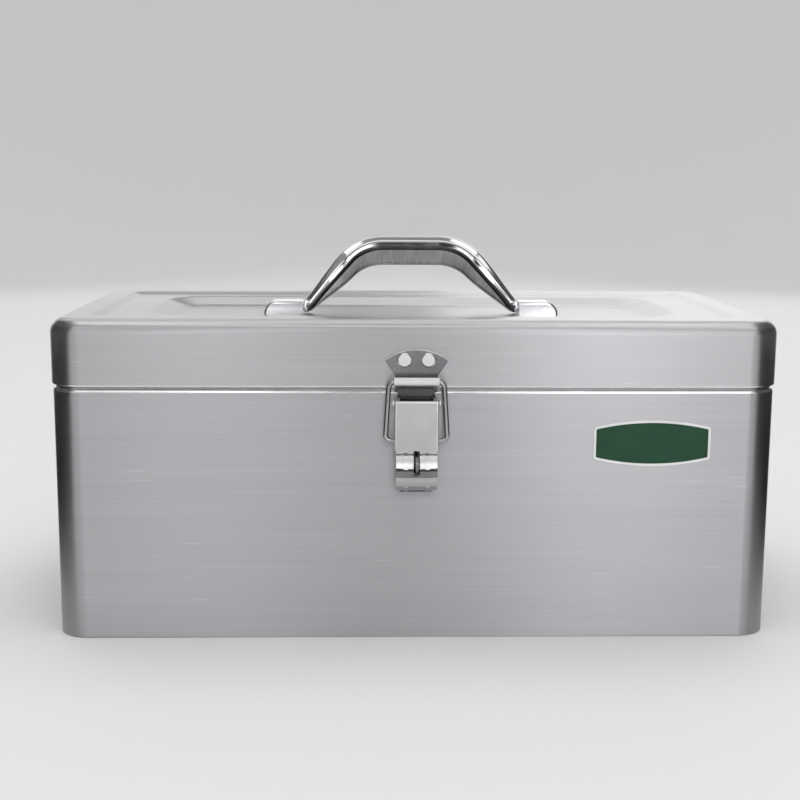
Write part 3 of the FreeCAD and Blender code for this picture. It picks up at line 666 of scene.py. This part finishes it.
# carrying handle: a strap arch leaning back on its pivots
handleSpec = {
    "halfFlat": 15.0, "bendRadius": 26.0, "slope": 50.5, "height": 35.3, "thick": 9.3,
    "halfWidth": 10.25, "outerRound": 3.0, "innerRound": 2.2, "roundShare": 0.98, "crown": 0.25,
    "sideCrown": 0.35, "flatEnd": 0.5, "legTaper": 1.3,
    "troughRim": 1.0, "rimShare": 0.5, "troughDepth": 0.55, "troughMiddle": 0.15,
    "trough": ((0.5, 0.4, 0.45), (1.1, 0.3, 0.9)),  # in from the rim, least share across, depth share
    "roundFrom": 0.55, "ankleRound": 0.6, "ankleWide": 0.2, "ankleThick": 0.1, "ankleRadius": 4.3,
    "footRadius": 3.3, "footEnd": 58.4, "footEase": 0.3, "footClear": 0.2,
    "axis": 158.4, "lean": 33.0, "trunnion": 2.2, "trunnionEnd": 67.4,
}
strapCounts = {"flat": 5, "outer": 8, "cheek": 5, "inner": 6, "bend": 24, "leg": 18, "ankle": 7,
               "feet": 5, "shaded": 5}


def strapSection(half, rise, share):
    # (across, outward) points; share runs from 0 for the strap to 1 for the round foot
    spec, counts, strap = handleSpec, strapCounts, 1 - share
    full = min(half, rise) * spec["roundShare"] * share
    outer, inner = spec["outerRound"] * strap + full, spec["innerRound"] * strap + full
    crown, bulge, depth = (spec[key] * strap for key in ("crown", "sideCrown", "troughDepth"))
    points = []
    for k in range(counts["flat"]):
        across = (half - outer) * k / (counts["flat"] - 1)
        points.append((across, rise - crown * (across / half) ** 2))
    for k, turn in list(enumerate(turns(counts["outer"])))[1:]:
        dip = crown * (1 - k / counts["outer"]) * ((half - outer) / half) ** 2
        points.append((half - outer + outer * sin(turn), rise - outer + outer * cos(turn) - dip))
    for k in range(1, counts["cheek"] + 1):
        part = k / (counts["cheek"] + 1)
        points.append((half + bulge * sin(pi * part),
                       rise - outer + (inner - rise - rise + outer) * part))
    edge = half - inner
    points += arc(edge, inner - rise, inner, -inner, counts["inner"], 90.0, 0.0)
    rim = max(edge - spec["troughRim"], edge * spec["rimShare"])
    points.append((rim, -rise))
    points += [(max(rim - inward, least * edge), depth * deep - rise)
               for inward, least, deep in spec["trough"]]
    points.append((spec["troughMiddle"] * edge, depth - rise))
    return points + [(-across, out) for across, out in points[:0:-1]]


def strapStations():
    # (x, z, turn, half width, half thickness, share of foot) from mid grip to one foot
    spec, counts = handleSpec, strapCounts
    slope, radius = radians(spec["slope"]), spec["bendRadius"]
    grip = (spec["halfWidth"], spec["thick"] / 2)
    foot, wide, thin = spec["footRadius"], spec["ankleWide"], spec["ankleThick"]
    stations = [(x, spec["height"], 0.0, *grip, 0.0)
                for x in (0.0, spec["halfFlat"] * 0.5, spec["halfFlat"] - spec["flatEnd"])]
    for k in range(counts["bend"] + 1):
        turn = slope * k / counts["bend"]
        stations.append((spec["halfFlat"] + radius * sin(turn),
                         spec["height"] - radius * (1 - cos(turn)), turn, *grip, 0.0))
    legX, legZ = stations[-1][:2]
    meet = legX + legZ / tan(slope)
    ankle = spec["ankleRadius"]
    lead = ankle * tan(slope / 2)
    ankleX, ankleZ = meet - lead * cos(slope), lead * sin(slope)
    for k in range(1, counts["leg"] + 1):
        part = k / counts["leg"]
        ease = part * part * (3 - 2 * part)
        share = max(0.0, part - spec["roundFrom"]) / (1 - spec["roundFrom"]) * spec["ankleRound"]
        stations.append((legX + (ankleX - legX) * part, legZ + (ankleZ - legZ) * part, slope,
                         grip[0] + (foot + wide - grip[0]) * part ** spec["legTaper"],
                         grip[1] + (foot + thin - grip[1]) * ease, share))
    for k in range(1, counts["ankle"] + 1):
        part = k / counts["ankle"]
        turn = slope * (1 - part)
        stations.append((meet + lead - ankle * sin(turn), ankle * (1 - cos(turn)), turn,
                         foot + wide * (1 - part), foot + thin * (1 - part),
                         spec["ankleRound"] + (1 - spec["ankleRound"]) * part))
    return [row for row in stations if row[0] < spec["footEnd"] - spec["footClear"]]


def makeHandle():
    spec, counts = handleSpec, strapCounts
    end, foot, ease = spec["footEnd"], spec["footRadius"], spec["footEase"]
    half = [[(x + out * sin(turn), across, z + out * cos(turn))
             for across, out in strapSection(width, thick, share)]
            for x, z, turn, width, thick, share in strapStations()]
    discs = ((end - ease, foot), (end, foot - ease), (end, spec["trunnion"]),
             (spec["trunnionEnd"], spec["trunnion"]))
    half += [[(x, across, out) for across, out in strapSection(radius, radius, 1.0)]
             for x, radius in discs]
    other = [[(-x, across, z) for x, across, z in ring] for ring in half[:0:-1]]
    lean = Matrix.Rotation(radians(-spec["lean"]), 4, "X")
    axis = Vector((0, 0, spec["axis"]))
    rings = [[tuple(lean @ Vector(point) + axis) for point in ring] for ring in other + half]
    firstUnder = sum(counts[key] for key in ("flat", "outer", "cheek", "inner"))
    lastUnder = len(half[0]) - firstUnder
    feet, shaded = counts["feet"], counts["shaded"]

    def side(level, k):
        # the underside between the feet is satin, the round edges beside it get a painted dark
        # reflection
        if not feet <= level < len(rings) - feet - 1:
            return 0
        if firstUnder <= k < lastUnder:
            return 1
        return 2 if firstUnder - shaded <= k < lastUnder + shaded else 0

    return loft("carryingHandle", rings, ["chrome", "satin", "shade"], side)


finished(makeHandle(), "carrying_handle", "handle_chrome", "handle")


# polished hoods that the handle turns in
seatSpec = {"start": 58.7, "long": 21.2, "half": 7.0, "nose": 6.9, "floor": 154.8, "top": 161.7,
            "round": 1.5, "roundSteps": 7, "noseSteps": 14, "ease": 0.3, "screwInset": 1.6}


def makeSeat(name, way):
    spec = seatSpec
    start, ease, floor = spec["start"], spec["ease"], spec["floor"]
    noseX = start + spec["long"] - spec["nose"]
    soft = spec["round"]
    levels = arc(soft - spec["half"], soft, -soft, -soft, spec["roundSteps"], 90.0, 0.0)
    levels += [(-y, inset) for y, inset in reversed(levels)]
    rings = []
    for y, inset in levels:
        top = spec["top"] - inset
        ring = [(start, floor), (start, top - ease), (start + ease, top)]
        ring += arc(noseX, floor, spec["nose"] - inset, top - floor, spec["noseSteps"])
        rings.append([(way * x, y, z) for x, z in ring])
    return loft(name, rings, ["chrome"])


for sideName, way in (("left", -1), ("right", 1)):
    finished(makeSeat(sideName + "Seat", way), "lid", "handle_chrome", "handle_seat_" + sideName)


# pressed hardware: the CAD form with its edges broken; "edge" is the finish of the broken edges, a
# painted highlight,
# "bends" are folded lines (how far out, y) that take it too, and "zones" are (axis, lower than,
# finish), bands of painted highlight and painted dark
easeSpec = {"merge": 2e-6, "coplanar": 0.8, "sharp": 32.0, "segments": 2, "smooth": 42.0,
            "onLine": 5e-5, "bendWidth": 0.9, "bendSegments": 4}
hardware = {
    # the latch plate's dark grey tone is painted dark reflection
    "keeperPlate": {"node": "keeper_plate", "body": "lid", "slot": "latch_steel", "finish": "keeper",
                    # below 133.2 the hook takes the bright finish as a painted highlight
                    "edge": "rivet", "width": 0.30, "zones": ((2, 133.2, "rivet"),)},
    # the latch base is painted near black as shade under the hook; its front faces take the painted
    # dark grey
    "latchBase": {"node": "latch_base", "body": "box", "slot": "latch_steel", "finish": "shade",
                  "edge": "rivet", "width": 0.30, "zones": ((1, -88.3, "keeper"),),
                  "tongue": {"above": 124.6, "up": 1.3, "wide": 1.25}},  # it reaches up to the seam
    "latchLever": {"node": "latch_lever", "body": "latch_lever", "slot": "latch_steel",
                   "finish": "lever", "edge": "rivet", "width": 0.30, "segments": 3,
                   "bends": ((10.7, -96.7),),
                   # down the lever's bulge: a painted highlight band, a painted dark reflection band,
                   # then the lever's own finish
                   "zones": ((2, 95.6, "rivet"), (2, 89.7, "barrel"), (2, 85.5, "lever"))},
    "leverPin": {"node": "lever_pin", "body": "box", "slot": "rivet_steel", "finish": "rivet",
                 "width": 0.12},
}
pairs = (
    ("BoxLeaf", "hinge_{}_box_leaf", "box", "zinc"), ("LidLeaf", "hinge_{}_lid_leaf", "lid", "zinc"),
    ("HingePin", "hinge_{}_pin", "box", "rivet"), ("Backing", "handle_backing_{}", "lid", "zinc"))
for kind, node, body, finish in pairs:
    for sideName in ("left", "right"):
        hardware[sideName + kind] = {"node": node.format(sideName), "body": body, "slot": "zinc_steel",
                                     "finish": finish, "width": 0.15}


def onLines(edge, lines):
    # whether both ends of an edge lie on one of the lines
    near = easeSpec["onLine"]
    return any(all(abs(abs(v.co.x) - out * mm) < near and abs(v.co.y - y * mm) < near
                   for v in edge.verts) for out, y in lines)


def eased(name, spec):
    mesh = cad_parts[spec["node"]].data.copy()
    mesh.name = name
    if "custom_normal" in mesh.attributes:
        mesh.attributes.remove(mesh.attributes["custom_normal"])
    mesh.materials.clear()
    edge, zones = spec.get("edge"), spec.get("zones", ())
    paint(mesh, [spec["finish"]] + ([edge] if edge else []) + [zone[2] for zone in zones])
    shape = bmesh.new()
    shape.from_mesh(mesh)
    bmesh.ops.remove_doubles(shape, verts=shape.verts, dist=easeSpec["merge"])
    bmesh.ops.dissolve_limit(shape, angle_limit=radians(easeSpec["coplanar"]),
                             verts=shape.verts, edges=shape.edges)
    for face in shape.faces:
        middle = face.calc_center_median()
        face.material_index = max([2 + k for k, (axis, limit, other) in enumerate(zones)
                                   if middle[axis] < limit * mm], default=0)
    folded = [line for line in shape.edges if onLines(line, spec.get("bends", ()))]
    # folded lines are bevelled in the edge finish, a painted highlight
    if folded:
        bmesh.ops.bevel(shape, geom=folded, offset=easeSpec["bendWidth"] * mm, profile=0.5,
                        segments=easeSpec["bendSegments"], affect="EDGES", material=1)
    if "tongue" in spec:
        tongue = spec["tongue"]
        for point in shape.verts:
            if point.co.z > tongue["above"] * mm:
                point.co.z += tongue["up"] * mm
                point.co.x *= tongue["wide"]
    shape.to_mesh(mesh)
    shape.free()
    piece = addObject(name, mesh)
    bevel = piece.modifiers.new("edges", "BEVEL")
    bevel.width = spec["width"] * mm
    bevel.segments = spec.get("segments", easeSpec["segments"])
    bevel.limit_method = "ANGLE"
    bevel.angle_limit = radians(easeSpec["sharp"])
    # the broken edges take the edge finish, a painted highlight
    bevel.material = 1 if edge else -1
    bakeDown(piece)
    return settle(piece, easeSpec["smooth"])


for pieceName, spec in hardware.items():
    finished(eased(pieceName, spec), spec["body"], spec["slot"], spec["node"])
print("eased hardware:", len(hardware))


# wire bail, bent from one length
bailSpec = {"inside": 8.7, "lowHalf": 15.2, "topHalf": 13.4, "pivot": (-92.7, 101.9),
            "hook": (-91.3, 130.65), "wire": 1.25, "bend": 3.0, "bendPoints": 9, "sides": 28}


def makeBail():
    spec = bailSpec
    half = [(spec["topHalf"], *spec["hook"]), (spec["lowHalf"], *spec["pivot"]),
            (spec["inside"], *spec["pivot"])]
    points = [(-x, y, z) for x, y, z in reversed(half)] + half
    return grow("latchBail", trees["wire"], points, [(k, k + 1) for k in range(len(points) - 1)], {
        "Wire radius": spec["wire"] * mm, "Bend radius": spec["bend"] * mm,
        "Bend points": spec["bendPoints"], "Sides": spec["sides"]}, "wire")


finished(makeBail(), "latch_bail", "latch_steel", "latch_bail")

# rivets and screws; "sizes" follow studLabels and "ring" is the finish of a head's sides, a painted
# shade ring
studLabels = ("Head radius", "Rise", "Edge", "Shank radius", "Shank length")
roundSides, shadeRingLimit = 48, 0.95
screwX = seatSpec["start"] + seatSpec["long"] - seatSpec["nose"] - seatSpec["screwInset"]
studSpec = {
    "keeperRivets": {
        "points": [(-5.8, -88.5, 141.0), (5.8, -88.5, 141.0)], "turn": quarter,
        "sizes": (3.6, 0.85, 0.55, 1.55, 2.6),
        "body": "lid", "slot": "rivet_steel", "nodes": ["keeper_rivets"], "finish": "rivet",
        "ring": "keeper"},
    "baseRivets": {
        "points": [(0, -88.1, 109.8), (0, -88.1, 81.8)], "turn": quarter,
        "sizes": (2.8, 1.0, 0.3, 1.55, 2.8),
        "body": "box", "slot": "rivet_steel", "nodes": ["latch_base_rivets"], "finish": "rivet"},
    "seatScrews": {
        "points": [(-screwX, 0, 152.8), (screwX, 0, 152.8)], "turn": 2 * quarter, "sides": 6,
        "sizes": (4.0, 2.0, 0.45, 1.95, 6.0),
        "body": "lid", "slot": "zinc_steel", "nodes": ["handle_seat_screws"], "finish": "zinc"},
}
# spot welds on the hinge leaves: body, the wall's y and two heights
weldSpec = {"offset": 105.0, "x": (-13.5, 13.5), "thick": 1.2,
            "leaves": (("box", 86.9, (111.5, 118.0)), ("lid", 87.5, (135.6, 142.1))),
            "sizes": (1.9, 0.16, 0.2, 1.0, 0.4)}
for sideName, way in (("left", -1), ("right", 1)):
    for leaf, wall, levels in weldSpec["leaves"]:
        studSpec[sideName + leaf.title() + "Welds"] = {
            "points": [(way * weldSpec["offset"] + x, wall + weldSpec["thick"], z)
                       for x in weldSpec["x"] for z in levels],
            "turn": -quarter, "sizes": weldSpec["sizes"], "domed": 1.0, "body": leaf,
            "slot": "zinc_steel", "finish": "zinc"}


def makeStuds(name, spec):
    values = {label: size * mm for label, size in zip(studLabels, spec["sizes"])}
    values.update({"Domed": spec.get("domed", 0.0), "Turn": (spec["turn"], 0.0, 0.0),
                   "Sides": spec.get("sides", roundSides)})
    piece = grow(name, trees["studs"], spec["points"], [], values, spec["finish"])
    # a head's steep sides take the ring finish, painted shade
    if "ring" in spec:
        paint(piece.data, (spec["ring"],))
        for polygon in piece.data.polygons:
            polygon.material_index = 1 if abs(polygon.normal.y) < shadeRingLimit else 0
    return piece


for name, spec in studSpec.items():
    finished(makeStuds(name, spec), spec["body"], spec["slot"], *spec.get("nodes", ()))
print("rivets, screws and welds:", len(studSpec))


# name plate, left bare: a white border round a green field
plateSpec = {
    "x": 116.6, "z": 99.6, "y": -86.9, "half": 29.0, "end": 8.0, "mid": 11.5, "thick": 0.5,
    "corner": 2.0, "leastCorner": 0.4, "border": 1.25, "cornerSteps": 8, "bowSteps": 24,
    # (inward, behind the face): over the outer edge, and down from the border to the field
    "edge": ((0.0, 0.12), (0.05, 0.03), (0.15, 0.0)),
    "step": ((-0.12, 0.0), (0.0, 0.04), (0.06, 0.10), (0.5, 0.10)),
}


def plateRing(inset, y):
    # bowed top and bottom, straight ends, rounded corners
    spec = plateSpec
    rise = spec["mid"] - spec["end"]
    bow = (spec["half"] ** 2 + rise ** 2) / (2 * rise)
    drop = spec["mid"] - bow
    bow -= inset
    corner = max(spec["corner"] - inset, spec["leastCorner"])
    cx = spec["half"] - inset - corner
    cz = drop + sqrt((bow - corner) ** 2 - cx ** 2)
    lean = atan2(cx, cz - drop)
    upper = arc(cx, cz, corner, corner, spec["cornerSteps"], degrees(lean))
    edge = upper[::-1]
    for k in range(1, spec["bowSteps"]):
        turn = lean * (1 - 2 * k / spec["bowSteps"])
        edge.append((bow * sin(turn), drop + bow * cos(turn)))
    edge += [(-x, z) for x, z in upper]
    return [(spec["x"] + x, y, spec["z"] + z) for x, z in edge + [(-x, -z) for x, z in edge]]


def makePlate():
    spec = plateSpec
    face = spec["y"] - spec["thick"]
    rows = [(0.0, spec["y"])] + [(inset, face + behind) for inset, behind in spec["edge"]]
    field = len(rows) + 1
    rows += [(spec["border"] + inset, face + behind) for inset, behind in spec["step"]]
    return loft("namePlate", [plateRing(inset, y) for inset, y in rows], ["white", "green"],
                lambda level, k: 1 if level >= field else 0)


finished(makePlate(), "box", "plate_enamel", "name_plate")

# studio
studio = {
    "floor": (0.80, 0.80, 0.80, 1), "sky": 0.30,
    "paper": {"mottle": (3,), "darker": 0.985, "specular": 0.25, "floorRough": 0.8,
              "flagRough": 0.9},
    "cove": {"flat": 2.0, "bend": 0.9, "wall": 3.0, "bendSteps": 12, "round": 96},
    "camera": {"at": (-0.0244, -0.7372, 0.2311), "yaw": 1.45, "pitch": 9.60, "roll": -0.31,
               "lens": 60.75, "sensor": 36.0, "near": 0.02, "far": 60.0},
    "lamps": [
        # name, place, aim, size along and across in metres, watts, whether gloss shows it
        ("fill", (0, 0, 2.80), (0, 0, 0), (3.2, 3.2), 38.0, False),
        ("overhead", (0.35, -0.62, 1.60), (0.35, -0.62, 0), (1.5, 0.36), 1.5, True),
        ("overBack", (0, 0.40, 1.60), (0, 0.40, 0), (1.5, 0.56), 2.0, True),
        ("edgeLeft", (-0.42, -0.16, 1.60), (-0.42, -0.16, 0), (0.40, 0.36), 0.60, True),
        ("edgeRight", (0.42, -0.16, 1.60), (0.42, -0.16, 0), (0.40, 0.36), 0.60, True),
        ("frontLeft", (-0.29, -1.90, 0.62), (0, 0, 0.10), (0.20, 1.15), 2.0, True),
        ("frontRight", (0.42, -1.90, 0.62), (0, 0, 0.10), (0.22, 1.15), 2.0, True),
        ("frontSide", (0.73, -1.90, 0.62), (0, 0, 0.10), (0.12, 1.15), 0.7, True),
        ("highLeft", (-0.58, -1.25, 1.25), (0, 0, 0.15), (0.85, 0.60), 1.5, True),
        ("highRight", (0.58, -1.25, 1.25), (0, 0, 0.15), (0.85, 0.60), 1.6, True),
        ("lowRight", (0.31, -1.70, 0.32), (0.31, 0, 0.15), (0.24, 0.30), 0.27, True),
        ("frontMid", (0.06, -1.20, 0.77), (0.01, 0, 0.09), (0.09, 0.24), 0.20, True),
        ("backLeft", (-0.90, 1.80, 0.46), (0, 0, 0.20), (1.7, 0.48), 1.3, True),
        ("backRight", (0.90, 1.80, 0.46), (0, 0, 0.20), (1.7, 0.48), 1.7, True),
        ("backBright", (0.62, 1.70, 1.00), (0, 0, 0.16), (1.0, 0.30), 0.95, True),
        ("backHigh", (0, 1.50, 1.55), (0, 0, 0.16), (2.4, 0.90), 3.6, True),
    ],
    "flags": [
        # name, place, width, height, turn in degrees, tone
        ("leftFlag", (-0.55, -0.02, 0.40), 0.9, 0.8, 90, 0.10),
        ("rightFlag", (0.55, -0.02, 0.40), 0.9, 0.8, -90, 0.10),
        ("lowLeftFlag", (-0.28, -0.04, 0.05), 0.26, 0.10, 90, 0.03),
        ("lowRightFlag", (0.28, -0.04, 0.05), 0.26, 0.10, -90, 0.03),
        ("nearFlag", (-0.20, -1.68, 0.30), 0.30, 0.40, 0, 0.03),
        ("middleFlag", (0.08, -1.75, 0.25), 0.24, 0.50, 0, 0.03),
        ("frontHighFlag", (0, -1.20, 1.15), 0.20, 0.50, 0, 0.03),
        ("backFlag", (-0.75, 1.70, 0.95), 1.5, 0.34, 0, 0.03),
    ],
}


def studioMaterial(name, colour, kind):
    paper = studio["paper"]
    material, net = newMaterial(name)
    low = tuple(c * paper["darker"] for c in colour[:3]) + (1,)
    endMaterial(net, {
        "Base Color": shadeMix(net, noise(net, *paper["mottle"]), low, colour),
        "Roughness": paper[kind], "Specular IOR Level": paper["specular"]})
    return material


def makeCove():
    # pale floor that curves up into a round wall
    spec = studio["cove"]
    flat, bend = spec["flat"], spec["bend"]
    profile = [(0.0, 0.0)] + arc(flat, bend, bend, -bend, spec["bendSteps"])
    profile.append((flat + bend, spec["wall"]))
    shape = bmesh.new()
    line = [shape.verts.new((x, 0, z)) for x, z in profile]
    edges = [shape.edges.new(pair) for pair in zip(line, line[1:])]
    bmesh.ops.spin(shape, geom=line + edges, cent=(0, 0, 0), axis=(0, 0, 1), angle=4 * quarter,
                   steps=spec["round"])
    mesh = bpy.data.meshes.new("studioCove")
    shape.to_mesh(mesh)
    shape.free()
    tidyNormals(mesh, 1e-5)
    for polygon in mesh.polygons:
        polygon.use_smooth = True
    mesh.materials.append(studioMaterial("covePaper", studio["floor"], "floorRough"))
    addObject("studioCove", mesh)


def makeFlags():
    # dark cards round the box that show only in its gloss
    for name, at, width, height, turn, tone in studio["flags"]:
        mesh = bpy.data.meshes.new(name)
        corners = [(x * width / 2, 0, z * height / 2) for x, z in ((-1, -1), (1, -1), (1, 1), (-1, 1))]
        mesh.from_pydata(corners, [], [(0, 1, 2, 3)])
        mesh.materials.append(studioMaterial(name + "Cloth", (tone, tone, tone, 1), "flagRough"))
        flag = addObject(name, mesh)
        flag.location = at
        flag.rotation_euler = (0, 0, radians(turn))
        flag.visible_camera = flag.visible_diffuse = flag.visible_shadow = False


def makeSky():
    # even soft light over the open top of the cove
    world = bpy.data.worlds.new("studioSky")
    scene.world = world
    world.use_nodes = True
    world.node_tree.nodes.clear()
    net = Wire(world.node_tree)
    level = studio["sky"]
    back = net.node("ShaderNodeBackground", inputs={"Color": (level, level, level, 1), "Strength": 1.0})
    net.node("ShaderNodeOutputWorld", inputs={"Surface": back})


def makeLamps():
    for name, at, aim, size, watts, glossy in studio["lamps"]:
        light = bpy.data.lights.new(name, "AREA")
        light.shape = "RECTANGLE"
        light.size, light.size_y = size
        light.energy = watts
        lamp = addObject(name, light)
        lamp.location = at
        lamp.visible_camera = False
        lamp.visible_glossy = glossy
        lamp.rotation_euler = (Vector(aim) - Vector(at)).to_track_quat("-Z", "Y").to_euler()


def makeCamera():
    spec = studio["camera"]
    yaw, pitch, roll = (radians(spec[key]) for key in ("yaw", "pitch", "roll"))
    ahead = Vector((sin(yaw) * cos(pitch), cos(yaw) * cos(pitch), -sin(pitch)))
    right = Vector((cos(yaw), -sin(yaw), 0))
    down = ahead.cross(right)
    across = right * cos(roll) + down * sin(roll)
    up = right * sin(roll) - down * cos(roll)
    lens = bpy.data.cameras.new("camera")
    lens.sensor_width, lens.lens = spec["sensor"], spec["lens"]
    lens.clip_start, lens.clip_end = spec["near"], spec["far"]
    camera = addObject("camera", lens)
    turn = Matrix((across, up, -ahead)).transposed().to_4x4()
    camera.matrix_world = Matrix.Translation(Vector(spec["at"])) @ turn
    scene.camera = camera


makeCove()
makeFlags()
makeSky()
makeLamps()
makeCamera()
scene.view_settings.view_transform = "Standard"
print("studio ready")
